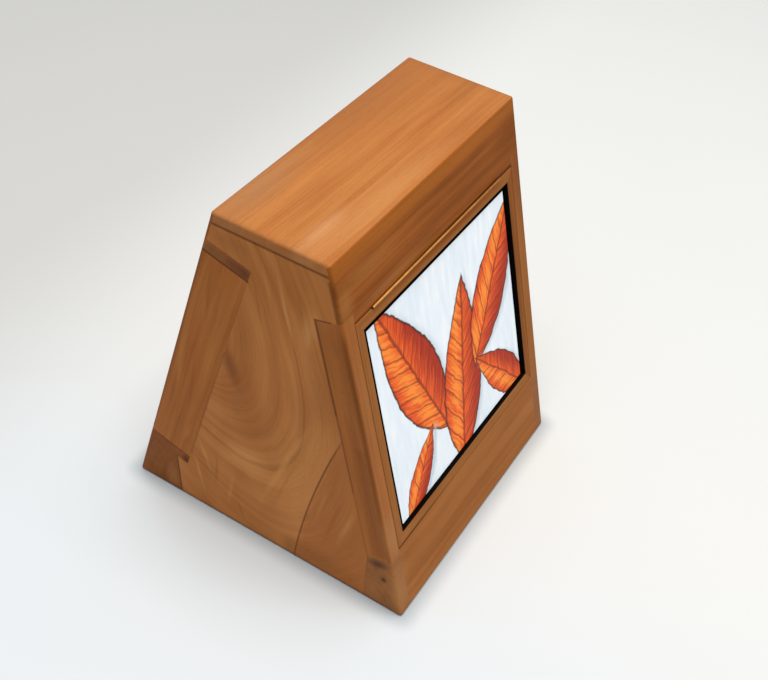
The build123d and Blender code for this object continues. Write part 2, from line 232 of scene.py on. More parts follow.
def woodMaterial(name, wood):
    # Cherry, planed and oiled: soft rings, fine fibre streaks, short dark pores, satin
    material, tree = newMaterial(name)
    place = addNode(tree, "TexCoord", output="Object")
    mm = addNode(tree, "VectorMath", {"operation": "SCALE"}, {0: place, "Scale": 1000.0})
    grain = addNode(tree, "Mapping", {}, {
        0: mm, "Location": wood["offset"], "Rotation": toRadians(wood["grain"]),
    })

    # The grain wanders a little
    along, across = wood["wanderSize"]
    wander = addNode(tree, "Mapping", {}, {0: grain, "Scale": (1 / along, 1 / across, 1 / across)})
    wander = addNode(tree, "TexNoise", {}, {0: wander, "Scale": 1.0, "Detail": 2.0}, "Color")
    wander = addNode(tree, "VectorMath", {"operation": "SUBTRACT"}, {0: wander, 1: (0.5, 0.5, 0.5)})
    strayed = addNode(tree, "VectorMath", {"operation": "MULTIPLY"}, {
        0: wander, 1: (0, wood["wander"], wood["wander"]),
    })
    fibre = addNode(tree, "VectorMath", {"operation": "ADD"}, {0: grain, 1: strayed})

    # Growth rings round the tree's heart, cut by the board's face, that change slowly along it
    radius = addNode(tree, "Mapping", {"vector_type": "TEXTURE"}, {
        0: fibre, "Location": wood["heart"], "Rotation": (0, 0, radians(wood["heartTurn"])),
        "Scale": (1 / wood["taper"], 1, 1),
    })
    radius = addNode(tree, "VectorMath", {"operation": "LENGTH"}, {0: radius}, "Value")
    rings = addNode(tree, "Math", {"operation": "DIVIDE"}, {0: radius, 1: wood["ring"]})
    rings = addNode(tree, "CombineXYZ", {}, {0: rings})
    along, across = wood["driftSize"]
    drift = addNode(tree, "Mapping", {}, {0: grain, "Scale": (1 / along, 1 / across, 1 / across)})
    rings = addNode(tree, "VectorMath", {"operation": "ADD"}, {0: rings, 1: drift})
    rings = addNode(tree, "TexNoise", {}, {0: rings, "Scale": 1.0, "Detail": 3.0, "Roughness": 0.55})

    # In a flat-sawn board the fibres follow the rings
    if wood.get("figured"):
        along = addNode(tree, "SeparateXYZ", {}, {0: fibre}, "X")
        fibre = addNode(tree, "CombineXYZ", {}, {0: along, 1: radius})

    noises = {}
    for part, source, (along, across), shift, detail, roughness in (
        # Drawn 1.1 mm wide, coarser than real fibres of 0.2 mm, so that they show
        ("streaks", fibre, (wood["fibre"], 1.1), (0, 0, 0), 3.0, 0.6),
        # Wider bands along the grain, 5 mm across
        ("bands", fibre, (160, 5), (3, 8, 1), 2.0, 0.5),
        # Drawn 0.45 mm by 5 mm, for real pores of 0.1 mm by 1 mm
        ("pores", fibre, (5, 0.45), (0, 0, 0), 1.0, 0.5),
        # Broad tone from place to place, and redder parts
        ("clouds", grain, (95, 34), (7, 3, 5), 2.0, 0.5),
        ("warmth", grain, (70, 20), (1, 9, 4), 2.0, 0.5),
    ):
        source = addNode(tree, "Mapping", {}, {
            0: source, "Scale": (1 / along, 1 / across, 1 / across), "Location": shift,
        })
        noises[part] = addNode(tree, "TexNoise", {}, {
            0: source, "Scale": 1.0, "Detail": detail, "Roughness": roughness,
        })
    rings, streaks, bands, clouds = (
        addNode(tree, "MapRange", {}, {0: noise, **signed})
        for noise in (rings, noises["streaks"], noises["bands"], noises["clouds"])
    )
    pores = addNode(tree, "MapRange", {}, {0: noises["pores"], **wood["poreRange"]})
    warmth = addNode(tree, "MapRange", {}, {0: noises["warmth"], **wood["warmRange"], 4: wood["warmth"]})

    tone = 0.5
    for part, weight in ((rings, "rings"), (streaks, "streaks"), (bands, "bands"), (clouds, "clouds")):
        tone = addNode(tree, "Math", {"operation": "MULTIPLY_ADD"}, {0: part, 1: wood[weight], 2: tone})
    colour = addNode(tree, "Mix", mixed, {
        0: tone, 6: toLinear(wood["late"]), 7: toLinear(wood["early"]),
    }, 2)
    colour = addNode(tree, "Mix", multiplied, {0: warmth, 6: colour, 7: wood["warmTint"]}, 2)
    if "vein" in wood:
        colour = addVein(tree, colour, wood["vein"], mm)
    for mark in wood.get("marks", ()):
        colour = addMark(tree, colour, mark, mm, wander, clouds)
    poreTone = addNode(tree, "Math", {"operation": "MULTIPLY"}, {0: pores, 1: wood["pores"]})
    colour = addNode(tree, "Mix", mixed, {0: poreTone, 6: colour, 7: toLinear(wood["pore"])}, 2)

    rougher, glossier = wood["rough"]
    rough = addNode(tree, "MapRange", {}, {0: streaks, 1: -1.0, 2: 1.0, 3: rougher, 4: glossier})
    height = addNode(tree, "Math", {"operation": "MULTIPLY_ADD"}, {
        0: pores, 1: wood["poreDepth"], 2: streaks,
    })
    bump = addNode(tree, "Bump", {}, {
        "Strength": wood["bump"], "Distance": wood["relief"], "Height": height,
    })
    shader = addNode(tree, "BsdfPrincipled", {}, {
        "Base Color": colour, "Roughness": rough, "Normal": bump, "IOR": 1.5,
        "Specular IOR Level": wood["sheen"],
    })
    addNode(tree, "OutputMaterial", {}, {0: shader})
    return material


# Shared looks of the cherry, changed piece by piece below
cherry = {
    # the tree's heart, its rings' width and the grain's stray in mm; each Size is a length and a width
    "heart": (0, -90, -60), "heartTurn": 0, "taper": 0.03, "ring": 5.0, "driftSize": (240, 160),
    "wander": 5.0, "wanderSize": (110, 38), "fibre": 60,
    "early": "#A66A33", "late": "#884D20", "pore": "#3E200C", "warmTint": (1.0, 0.84, 0.72, 1.0),
    "rings": 0.28, "streaks": 0.17, "bands": 0.14, "clouds": 0.22, "pores": 0.22, "warmth": 0.3,
    "poreRange": {1: 0.62, 2: 0.74, 3: 0.0, 4: 1.0}, "warmRange": {1: 0.4, 2: 0.7, 3: 0.0},
    # roughness of the dull and the bright streaks, and the relief in metres
    "rough": (0.50, 0.40), "sheen": 0.06, "bump": 0.25, "relief": 0.00006, "poreDepth": -1.5,
}

# Top board: pale, straight, a lighter band along the front left, redder at the right
topWood = dict(
    cherry, grain=(0, 0, 1.5), offset=(0, 0, 0), heart=(0, -140, -90), ring=4.0, fibre=130,
    early="#A86E3A", late="#8C5227", rings=0.20, streaks=0.2, clouds=0.14, bands=0.2,
    marks=[
        topSmudge(-60, -32, 150, 15, 0.42, "#B37C4A", turn=-3, wander=8, core=0.2),
        topSmudge(110, 30, 150, 50, 0.5, "#8D562B", core=0.2),
        topSmudge(-30, 12, 150, 6, 0.35, "#90582B", turn=1, wander=8, core=0.2),
        topSmudge(-40, -18, 120, 2.5, 0.4, "#8E5629", turn=-2, wander=8, core=0.2),
        topSmudge(-50, -40, 90, 1.8, 0.4, "#935A2C", turn=-2, wander=8, core=0.2),
        topSmudge(-endFace, 0, 6, 60, 0.4, "#8E5A31", core=0.2),
        topSmudge(30, 40, 150, 28, 0.45, "#7C4D2C"),
        topSmudge(100, -14, 55, 15, 0.35, "#7E4A20", wander=6),
        topSmudge(-95, -20, 42, 9, 0.35, "#C3946A", wander=6),
        topSmudge(0, -43, 90, 6, 0.35, "#A05D26", wander=5),
        topSmudge(122, 0, 20, 60, 0.45, "#80522F"),
        topSmudge(-85, 36, 75, 22, 0.6, "#8D6544"),
        # glue line at the lip's lower edge, with painted shade under the lip
        seamOrShade((-46, 291.8), (46, 291.8), 0.8, 0.5),
    ],
)
dress("top_board", woodMaterial("cherryTop", topWood))

# Glue lines and dark edges between the pieces of an end wall, and painted shade under the top board's lip
# and along the foot
frontPostDepth = 20.4        # how far in from its slope a post's inner edge lies
rearPostDepth = 38.2
seamsAndShades = {
    # glue line under the top board's lip, with painted shade under the lip
    "lip": seamOrShade((-46, 291.2), (46, 291.2), 1.9, 0.72, "#4E220A", 0.1),
    "topRail": seamOrShade(frontAt(268, 2.8), frontAt(298, 2.8), 1.5, 0.6),
    "postTop": seamOrShade(frontAt(267.7, 9), frontAt(267.7, 20), 1.1, 0.6),
    "postSide": seamOrShade(frontAt(190, frontPostDepth), frontAt(267, frontPostDepth), 1.4, 0.75, "#5C3013"),
    "postSideMiddle": seamOrShade(
        frontAt(120, frontPostDepth), frontAt(191.5, frontPostDepth), 1.3, 0.5, "#5E3112",
    ),
    "postSideLow": seamOrShade(frontAt(58, frontPostDepth), frontAt(121.5, frontPostDepth), 1.2, 0.2),
    "rearPostTop": seamOrShade(rearAt(276.6, 0), rearAt(276.6, 38), 1.3, 0.85),
    "rearPostSide": seamOrShade(rearAt(66, rearPostDepth), rearAt(200, rearPostDepth), 1.2, 0.28),
    "lowerKeyTop": seamOrShade(rearAt(61.2, 0), rearAt(61.2, 38), 1.0, 0.7),
    "lowerKeyBase": seamOrShade(rearAt(51.3, 0), rearAt(51.3, 34), 0.9, 0.2),
    "rearBlock": seamOrShade((81.7, 2), rearAt(49, 28.4), 1.1, 0.6),
    # painted shade along the foot of the walls, where they meet the floor
    "base": seamOrShade((-116, 1.0), (116, 1.0), 4.5, 0.45, "#573620", 0.0),
}
panelSeamsAndShades = [line for name, line in seamsAndShades.items() if not name.startswith("lowerKey")]

# End walls: a flat-sawn panel with long arcs, a dark eye and a dark ring that bends up the face
endPanelWood = dict(
    cherry, grain=grainUp, offset=(0, 0, 0), heart=(257, 90, 118), heartTurn=28.5, taper=0.45,
    ring=8.0, wander=12.0, early="#B8773F", late="#8E5524",
    rings=0.12, streaks=0.14, clouds=0.16, bands=0.11, figured=True,
)
darkRing = {
    "start": 27, "lean": 0.1136, "bend": 0.000708,
    "line": {1: 0.0, 2: 1.3, 3: 0.8, 4: 0.0}, "lineTint": "#5A300F",
    "fade": {1: 125, 2: 185, 3: 1.0, 4: 0.0},
    "beyond": {1: 1.0, 2: -7.0, 3: 0.0, 4: 0.45}, "beyondTint": "#99592B",
    "inside": {1: 40.0, 2: 3.0, 3: 0.0, 4: 0.35}, "insideTint": "#BF824A",
}
longArcs = {"middle": (90, 258), "size": (86, 192), "turn": -28.5, "wander": 12, "patchy": 0.5}


# A ring of the long arcs, by its part of the largest one's size
def arc(part, width, strength, tint):
    across, up = longArcs["size"]
    ring = leftSmudge(
        longArcs["middle"], across * part, up * part, strength, tint, longArcs["turn"], longArcs["wander"],
    )
    return dict(ring, ring=width / part, patchy=longArcs["patchy"])


leftPanelMarks = [
    leftSmudge((8, 268), 60, 40, 0.4, "#935723"),
    leftSmudge((14, 128), 26, 34, 0.4, "#8A4F21", turn=-20, wander=14),
    leftSmudge((19, 163), 20, 36, 0.3, "#8B4A24", turn=-20, wander=12),
    leftSmudge((-38, 175), 17, 50, 0.32, "#6F4220", turn=8, wander=10),
    leftSmudge((18, 84), 30, 22, 0.4, "#CF9459", wander=10),
    leftSmudge((-46, 14), 40, 18, 0.35, "#75451F", wander=8),
    leftSmudge((32, 18), 20, 12, 0.2, "#7C4B25", wander=8),
    leftSmudge((-34, 244), 12, 26, 0.35, "#C58D55", turn=8, wander=6),
    leftSmudge((30, 283), 24, 11, 0.35, "#784824", wander=4),
    arc(1.09, 0.06, 0.22, "#C68A50"), arc(1.01, 0.020, 0.42, "#74411A"),
    arc(0.95, 0.035, 0.24, "#C08449"), arc(0.84, 0.030, 0.26, "#7E491E"),
    arc(0.76, 0.025, 0.20, "#B97D43"), arc(0.67, 0.040, 0.28, "#7A4519"),
    streak((38, 200), (23, 150), 9, 0.6, "#6A3513"), streak((41, 236), (31, 182), 8, 0.35, "#7C431A"),
    streak((-6, 280), (-21, 214), 2.4, 0.4, "#C88F58"), streak((6, 284), (-4, 236), 2.0, 0.25, "#BE844D"),
    streak((14, 278), (4, 220), 1.6, 0.35, "#7E491E"), streak((-20, 278), (-34, 214), 1.8, 0.35, "#82501F"),
    streak((63, 82), (50, 44), 3.0, 0.4, "#C48C54"), streak((68, 62), (57, 14), 2.8, 0.35, "#C48C54"),
    streak((44, 76), (47, 28), 2.2, 0.4, "#7C481D"), streak((30, 60), (36, 14), 2.6, 0.25, "#C08850"),
    streak((27, 28), (21, 12), 1.8, 0.4, "#6E3D18"), streak((-37, 158), (6, 42), 4.5, 0.4, "#C8904F"),
    streak((-30, 120), (-4, 40), 2.5, 0.3, "#8C5526"), streak((-56, 110), (-44, 50), 3.0, 0.3, "#B98048"),
    streak((-78, 96), (-64, 42), 3.5, 0.35, "#BE8850"), streak((-70, 110), (-52, 30), 3.0, 0.4, "#85481F"),
    streak((-21, 24), (-25, -6), 12.0, 0.4, "#75401A"),
    streak((-27, 252), (-33, 218), 4.0, 0.35, "#C48D55"),
]
dress("left_end_panel", woodMaterial("cherryEndPanelLeft", dict(
    endPanelWood, vein=darkRing, marks=leftPanelMarks + panelSeamsAndShades,
)))
dress("right_end_panel", woodMaterial("cherryEndPanelRight", dict(
    endPanelWood, offset=(31, 14, 0), heart=(250, 60, -118), heartTurn=20, marks=panelSeamsAndShades,
)))

# Posts, keys and corner blocks: the same cherry from darker boards
postWood = dict(cherry, heart=(0, -60, -40), ring=4.0, rings=0.22, fibre=80)
frontPostWood = dict(
    postWood, grain=grainFrontPost, early="#A1632F", late="#83491A",
    marks=[
        # A dark band beside the front arris, further in towards the foot
        dict(seamOrShade((-97, 52), (-54, 243), 7.5, 0.38, "#6A3710", 0.0), wander=6, patchy=0.5),
        seamOrShade(frontAt(44, 0.8), frontAt(262, 0.8), 3.2, 0.5, "#5A3012", 0.0),
        dict(seamOrShade(frontAt(60, 6), frontAt(165, 6), 7.0, 0.4, "#63371A", 0.0), patchy=0.4),
        # painted shade: the marks at 114 and 121 across darken the right post towards the box's right edge
        frontSmudge(114, 140, 20, 150, 0.6, "#85500E"), frontSmudge(114, 262, 20, 75, 0.75, "#763B05"),
        frontSmudge(121, 240, 7, 110, 0.85, "#572B05"), frontSmudge(-121, 205, 6, 110, 0.6, "#55300F"),
        frontSmudge(-113, 78, 18, 34, 0.45, "#AA7A4C"), frontSmudge(-111, 190, 6, 90, 0.2, "#A77443"),
        endSmudge(frontAt(254, 11), 14, 18, 0.2, "#66350F", turn=-15, wander=5, core=0.2),
        seamsAndShades["postTop"], seamsAndShades["postSide"], seamsAndShades["postSideMiddle"], seamsAndShades["postSideLow"],
    ],
)
rearPostWood = dict(
    postWood, grain=grainRearPost, early="#A5672F", late="#8A4C1B", warmth=0.4,
    marks=[
        seamOrShade(rearAt(62, 0.8), rearAt(276, 0.8), 2.4, 0.6, "#5E3212", 0.0),
        streak((54, 276), (74, 214), 5, 0.4, "#7D4519"), streak((44, 262), (52, 196), 2.5, 0.4, "#7A4318"),
        streak((66, 200), (84, 110), 4, 0.35, "#B5783D"), streak((60, 176), (72, 92), 2.2, 0.4, "#7F471B"),
        streak((78, 150), (94, 80), 3, 0.35, "#7C4419"), streak((68, 90), (78, 62), 3, 0.3, "#B5783D"),
        seamsAndShades["rearPostTop"], seamsAndShades["rearPostSide"], seamsAndShades["lowerKeyTop"],
    ],
)
upperKeyWood = dict(
    postWood, grain=grainKey, early="#A0673A", late="#854E25",
    marks=[
        endSmudge(rearAt(281, 28), 20, 12, 0.8, "#623315", turn=15, core=0.2),
        endSmudge(rearAt(281, 36), 9, 9, 0.6, "#4A2009", turn=15),
        endSmudge(rearAt(280, 9), 14, 10, 0.5, "#6B4723", turn=15, core=0.2),
        seamsAndShades["rearPostTop"],
    ],
)
lowerKeyWood = dict(
    postWood, grain=grainKey, early="#8D5123", late="#753F13",
    marks=[
        endSmudge((69, 57), 11, 6, 0.6, "#A76D3C", turn=15),
        endSmudge(rearAt(55, 36), 6, 8, 0.8, "#45200A", turn=15, core=0.1),
        seamsAndShades["lowerKeyTop"], seamsAndShades["lowerKeyBase"],
    ],
)
frontBlockWood = dict(
    postWood, grain=grainAcross, early="#945F35", late="#744723", ring=2.5, rings=0.2,
    marks=[
        # A dark upper end, then a small knot in a darker ring
        leftSmudge((-100, 47), 12, 6.5, 0.8, "#43291A", turn=-15, wander=8),
        leftSmudge((-106.2, 32.6), 2.9, 3.4, 0.9, "#2A160A", wander=2, core=0.1),
        leftSmudge((-105.5, 32.6), 6, 7, 0.5, "#573418", wander=3),
        endSmudge((-98, 14), 14, 22, 0.5, "#A06A38", turn=-15),
        smudge((-endFace, -118, 22), (40, 8, 40), 0.6, "#A5713F", turn=(-15, 0, 0)),
        seamsAndShades["base"],
    ],
)
rearBlockWood = dict(
    postWood, grain=grainAcross, early="#895023", late="#703D13", ring=3.0,
    marks=[
        endSmudge((120, 20), 7, 34, 0.3, "#5C3214", turn=15),
        endSmudge((90, 14), 11, 24, 0.5, "#A87040"),
        seamsAndShades["rearBlock"], seamsAndShades["lowerKeyBase"], seamsAndShades["base"],
    ],
)
for hand, side in (("left", -1), ("right", 1)):
    for piece, wood, offset in (
        ("front_post", frontPostWood, (3, 11, 5)), ("rear_post", rearPostWood, (23, 41, 9)),
        ("rear_upper_key", upperKeyWood, (5, 7, 2)), ("rear_lower_key", lowerKeyWood, (9, 3, 2)),
        ("front_corner_block", frontBlockWood, (2, 5, 8)), ("rear_corner_block", rearBlockWood, (8, 2, 4)),
    ):
        look = dict(wood, offset=[side * c for c in offset])
        dress(f"{hand}_{piece}", woodMaterial(finishName("cherry", f"{piece}_{hand}"), look))

# Painted shade in the gap under the door, darker at the left
sillGapShade = levelSeamOrShade(frontAt(sillReach, 0), -slopeAngle, 0.15)
sillShade = frontSmudge(-85, sillReach, 80, 1.8, 0.9, "#231006", wander=0)

# Front rails: the top one pale along its upper edge and darker below, the bottom one evenly brown
frontWood = dict(
    cherry, grain=grainFront, heart=(0, -120, -70), ring=4.5, fibre=90, early="#9E642E", late="#814A1B",
    sheen=0.03,
)
topRailWood = dict(
    frontWood, offset=(0, 20, 0), early="#965522", late="#723D10", streaks=0.2, bands=0.2,
    marks=[
        smudge((0, *frontAt(305, 0)), (300, 9, 9), 0.6, "#A25E1E", wander=4, core=0.1),
        frontSmudge(35, 276.5, 130, 9, 0.5, "#5E3007"), frontSmudge(-84, 289, 50, 9, 0.28, "#A8763C"),
        frontSmudge(-113, 276, 14, 18, 0.35, "#A57541"), frontSmudge(-62, 266, 66, 5, 0.4, "#A87041"),
        # painted shade darkens the right end of the rail
        frontSmudge(112, 286, 40, 26, 0.5, "#643404"), frontSmudge(122, 280, 8, 40, 0.6, "#4E2604"),
        frontSmudge(-122, 290, 7, 16, 0.5, "#6A3A14"),
        # painted shade along the gap above the hinge
        frontSmudge(55, 262.0, 150, 1.5, 0.75, "#3C1D08", wander=0),
        smudge(
            (-121, *frontAt(284, 1)), (4, 6, 34), 0.5, "#553015", turn=(-slopeAngle, 0, 0), core=0.2,
        ),
    ],
)
bottomRailWood = dict(
    frontWood, offset=(50, 70, 0), early="#9F6433", late="#864F20", warmth=0.2,
    marks=[
        frontSmudge(-116, 38, 18, 30, 0.5, "#A8764A"), sillShade,
        smudge((20, *frontAt(36, 0)), (120, 8, 10), 0.3, "#A46A37", wander=5),
    ],
)
dress("front_top_rail", woodMaterial("cherryTopRail", topRailWood))
dress("front_bottom_rail", woodMaterial("cherryBottomRail", bottomRailWood))
dress("sill_stop", woodMaterial("cherrySillStop", dict(frontWood, offset=(90, 30, 0))))

# Rear and bottom
rearWood = dict(frontWood, grain=grainRear, marks=[
    levelSeamOrShade(rearAt(286.84, 0), slopeAngle, 0.5), levelSeamOrShade(rearAt(51.5, 0), slopeAngle, 0.5),
])
dress("rear_top_rail", woodMaterial("cherryRearTopRail", dict(
    rearWood, offset=(20, 20, 0), early="#965A29", late="#7A4216",
)))
dress("rear_panel", woodMaterial("cherryRearPanel", dict(
    rearWood, offset=(60, 0, 0), heart=(20, 20, -30), taper=0.12, ring=7.0,
    early="#9B5D2B", late="#7E461C", rings=0.2, warmth=0.5,
)))
dress("rear_bottom_rail", woodMaterial("cherryRearBottomRail", dict(
    rearWood, offset=(120, 50, 0), early="#945725", late="#784114",
)))
dress("bottom_panel", woodMaterial("cherryFloor", dict(cherry, grain=grainAcross, offset=(10, 40, 0))))

# Door frame and side stops: painted shade in the gap under the door, and painted shade that darkens the
# right ones
frameWood = dict(
    cherry, heart=(0, -50, -30), ring=3.0, early="#9B6335", late="#7F4F23", sheen=0.02,
    marks=[sillGapShade, sillShade, frontSmudge(10, 256.8, 135, 4.5, 0.75, "#843F04")],
)
frameShadedRight = {"early": "#8D5428", "late": "#714218"}
for label, turn, shift, change in (
    ("door_top_rail", grainFront, 10, {}), ("door_bottom_rail", grainFront, 60, {}),
    ("door_left_stile", grainFrontPost, 30, {}), ("door_right_stile", grainFrontPost, 80, frameShadedRight),
    ("left_door_stop", grainFrontPost, 45, {}), ("right_door_stop", grainFrontPost, 95, frameShadedRight),
):
    look = dict(frameWood, grain=turn, offset=(shift, shift / 3, 0), **change)
    dress(label, woodMaterial(finishName("cherryFrame", label), look))
print("wood done")


def brassMaterial(name, brass):
    # Brass, rolled and lightly brushed: warm, satin, with fine lines along the hinge
    material, tree = newMaterial(name)
    place = addNode(tree, "TexCoord", output="Object")
    long, fine = brass["brush"]
    lines = addNode(tree, "Mapping", {}, {0: place, "Scale": (1000 / long, 1000 / fine, 1000 / fine)})
    lines = addNode(tree, "TexNoise", {}, {0: lines, "Scale": 1.0, "Detail": 2.0})
    dull = addNode(tree, "TexNoise", {}, {0: place, "Scale": 1000 / brass["spot"], "Detail": 3.0})
    dull = addNode(tree, "MapRange", {}, {0: dull, **brass["tarnish"]})
    # Painted shade: duller towards the right
    along = addNode(tree, "SeparateXYZ", {}, {0: place}, "X")
    along = addNode(tree, "MapRange", {}, {0: along, **brass["rightward"]})
    dull = addNode(tree, "Math", {"operation": "ADD", "use_clamp": True}, {0: dull, 1: along})
    colour = addNode(tree, "Mix", mixed, {
        0: dull, 6: toLinear(brass["bright"]), 7: toLinear(brass["dull"]),
    }, 2)
    # Painted highlight on the crown of the barrel, that faces out and up, and painted shade beside it
    crownAngle = slope + radians(brass["crownTurn"])
    outY, outZ = -cos(crownAngle), sin(crownAngle)
    axisY, axisZ = frontAt(hingeReach, -hingeProud)
    crown = addNode(tree, "VectorMath", {"operation": "DOT_PRODUCT"}, {
        0: place, 1: (0, 1000 * outY, 1000 * outZ),
    }, "Value")
    crown = addNode(tree, "Math", {"operation": "ADD"}, {0: crown, 1: -(axisY * outY + axisZ * outZ)})
    crown = addNode(tree, "MapRange", smooth, {0: crown, **brass["beside"]})
    colour = addNode(tree, "Mix", mixed, {0: crown, 6: colour, 7: toLinear(brass["dark"])}, 2)
    glossier, rougher = brass["rough"]
    rough = addNode(tree, "MapRange", {}, {0: lines, **fromNoise, 3: glossier, 4: rougher})
    bump = addNode(tree, "Bump", {}, {
        "Strength": brass["bump"], "Distance": brass["relief"], "Height": lines,
    })
    shader = addNode(tree, "BsdfPrincipled", {}, {
        "Base Color": colour, "Metallic": 1.0, "Roughness": rough, "Normal": bump,
    })
    addNode(tree, "OutputMaterial", {}, {0: shader})
    return material


hingeBrass = {
    "bright": "#FFB95E", "dull": "#B97632", "dark": "#7C4208",
    # brush lines 0.3 mm apart, where real ones are finer, and tarnish in spots of 9 mm
    "brush": (14, 0.3), "spot": 9, "tarnish": {1: 0.35, 2: 0.7, 3: 0.0, 4: 0.4},
    # painted shade by metres to the right, and by mm from the barrel's axis towards its crown
    "rightward": {1: -0.08, 2: 0.08, 3: -0.05, 4: 0.75}, "beside": {1: 0.55, 2: 1.03, 3: 0.92, 4: 0.0},
    "crownTurn": 47,                             # degrees from the front slope's normal, upwards
    "rough": (0.22, 0.38), "bump": 0.2, "relief": 0.00003,
}
brass = brassMaterial("hingeBrass", hingeBrass)
for label in (
    "hinge_fixed_leaf", "hinge_door_leaf", "hinge_pin",
    "hinge_fixed_screws", "hinge_door_screws", "backing_screws",
):
    dress(label, brass)
print("brass done")


def paintMaterial(name, paint):
    # Flat black paint, brushed on: no gloss, faintly uneven
    material, tree = newMaterial(name)
    place = addNode(tree, "TexCoord", output="Object")
    long, fine = paint["brush"]
    strokes = addNode(tree, "Mapping", {}, {0: place, "Scale": (1000 / long, 1000 / fine, 1000 / fine)})
    strokes = addNode(tree, "TexNoise", {}, {0: strokes, "Scale": 1.0, "Detail": 3.0})
    colour = addNode(tree, "Mix", mixed, {
        0: strokes, 6: toLinear(paint["deep"]), 7: toLinear(paint["worn"]),
    }, 2)
    glossier, rougher = paint["rough"]
    rough = addNode(tree, "MapRange", {}, {0: strokes, **fromNoise, 3: glossier, 4: rougher})
    bump = addNode(tree, "Bump", {}, {
        "Strength": paint["bump"], "Distance": paint["relief"], "Height": strokes,
    })
    shader = addNode(tree, "BsdfPrincipled", {}, {
        "Base Color": colour, "Roughness": rough, "Normal": bump, "Specular IOR Level": paint["gloss"],
    })
    addNode(tree, "OutputMaterial", {}, {0: shader})
    return material


blackPaint = {
    "deep": "#020202", "worn": "#080706", "rough": (0.8, 0.92), "gloss": 0.04,
    "brush": (30, 1.5),                          # brush marks' length and distance in mm
    "bump": 0.2, "relief": 0.00005,
}
for label, finish in (("recess_liner", "blackPaintLiner"), ("picture_backing", "blackPaintBacking")):
    dress(label, paintMaterial(finish, blackPaint))


# A leaf's own directions, and how far inside its outline a point lies, in half widths
def leafShape(tree, drawn, middle, turn, half, width, picture):
    leaf = addNode(tree, "Mapping", {"vector_type": "TEXTURE"}, {
        0: drawn, "Location": (*middle, 0), "Rotation": (0, 0, radians(turn)), "Scale": (width, half, 1),
    })
    side = addNode(tree, "SeparateXYZ", {}, {0: leaf}, "X")
    along = addNode(tree, "SeparateXYZ", {}, {0: leaf}, "Y")
    offSide = addNode(tree, "Math", {"operation": "ABSOLUTE"}, {0: side})
    # The half width is 1 - along squared, a little fuller towards the stalk
    fall = addNode(tree, "Math", {"operation": "MULTIPLY"}, {0: along, 1: along})
    profile = addNode(tree, "Math", {"operation": "SUBTRACT"}, {0: 1.0, 1: fall})
    skew = addNode(tree, "MapRange", {}, {0: along, **picture["fuller"]})
    profile = addNode(tree, "Math", {"operation": "MULTIPLY"}, {0: profile, 1: skew})
    inside = addNode(tree, "Math", {"operation": "SUBTRACT"}, {0: profile, 1: offSide})
    return side, along, offSide, inside


# Paints one leaf over a colour, with a soft shadow beside it
def addLeaf(tree, colour, drawn, leaf, picture):
    across, up, turn, half, width = leaf
    shift = picture["shadowShift"]
    beside = (across + shift, up - shift / 2)
    inside = leafShape(tree, drawn, beside, turn, half, width, picture)[-1]
    mask = addNode(tree, "MapRange", smooth, {0: inside, **picture["shadowSoft"]})
    colour = addNode(tree, "Mix", mixed, {0: mask, 6: colour, 7: toLinear(picture["shadow"])}, 2)

    side, along, offSide, inside = leafShape(tree, drawn, (across, up), turn, half, width, picture)
    mask = addNode(tree, "MapRange", smooth, {0: inside, **picture["outline"]})
    body = addNode(tree, "MapRange", smooth, {0: inside, **picture["inOutline"]})
    # Strokes follow the side veins, which lean towards the tip
    slant = addNode(tree, "Math", {"operation": "MULTIPLY_ADD"}, {0: offSide, 1: -width / half, 2: along})
    stroke = addNode(tree, "CombineXYZ", {}, {0: slant, 1: side})
    stroke = addNode(tree, "VectorMath", {"operation": "MULTIPLY"}, {
        0: stroke, 1: (half / picture["strokeWidth"], width / picture["strokeLength"], 1),
    })
    stroke = addNode(tree, "TexNoise", {}, {0: stroke, "Scale": 1.0, "Detail": 3.0, "Roughness": 0.6})
    stroke = addNode(tree, "MapRange", {}, {0: stroke, **fromNoise, 3: -0.5, 4: 0.5})
    veins = addNode(tree, "Math", {"operation": "MULTIPLY"}, {0: slant, 1: half / picture["veinWave"]})
    veins = addNode(tree, "Math", {"operation": "SINE"}, {0: veins})
    veins = addNode(tree, "MapRange", smooth, {0: veins, **picture["veins"]})
    midrib = addNode(tree, "MapRange", smooth, {0: offSide, **picture["midrib"]})
    # Light along the middle of one half, deep red towards the rim
    shade = addNode(tree, "Math", {"operation": "SUBTRACT"}, {0: side, 1: picture["lightSide"]})
    shade = addNode(tree, "Math", {"operation": "ABSOLUTE"}, {0: shade})
    shade = addNode(tree, "Math", {"operation": "MULTIPLY_ADD"}, {
        0: stroke, 1: picture["strokeShade"], 2: shade,
    })
    light = addNode(tree, "MapRange", {}, {0: shade, **picture["lightRange"]})
    red = addNode(tree, "MapRange", {}, {0: shade, **picture["deepRange"]})
    fill = toLinear(picture["bright"])
    for factor, tint in ((light, "light"), (red, "deep"), (veins, "rib"), (midrib, "rib")):
        fill = addNode(tree, "Mix", mixed, {0: factor, 6: fill, 7: toLinear(picture[tint])}, 2)
    fill = addNode(tree, "Mix", mixed, {0: body, 6: toLinear(picture["edge"]), 7: fill}, 2)
    return addNode(tree, "Mix", mixed, {0: mask, 6: colour, 7: fill}, 2)


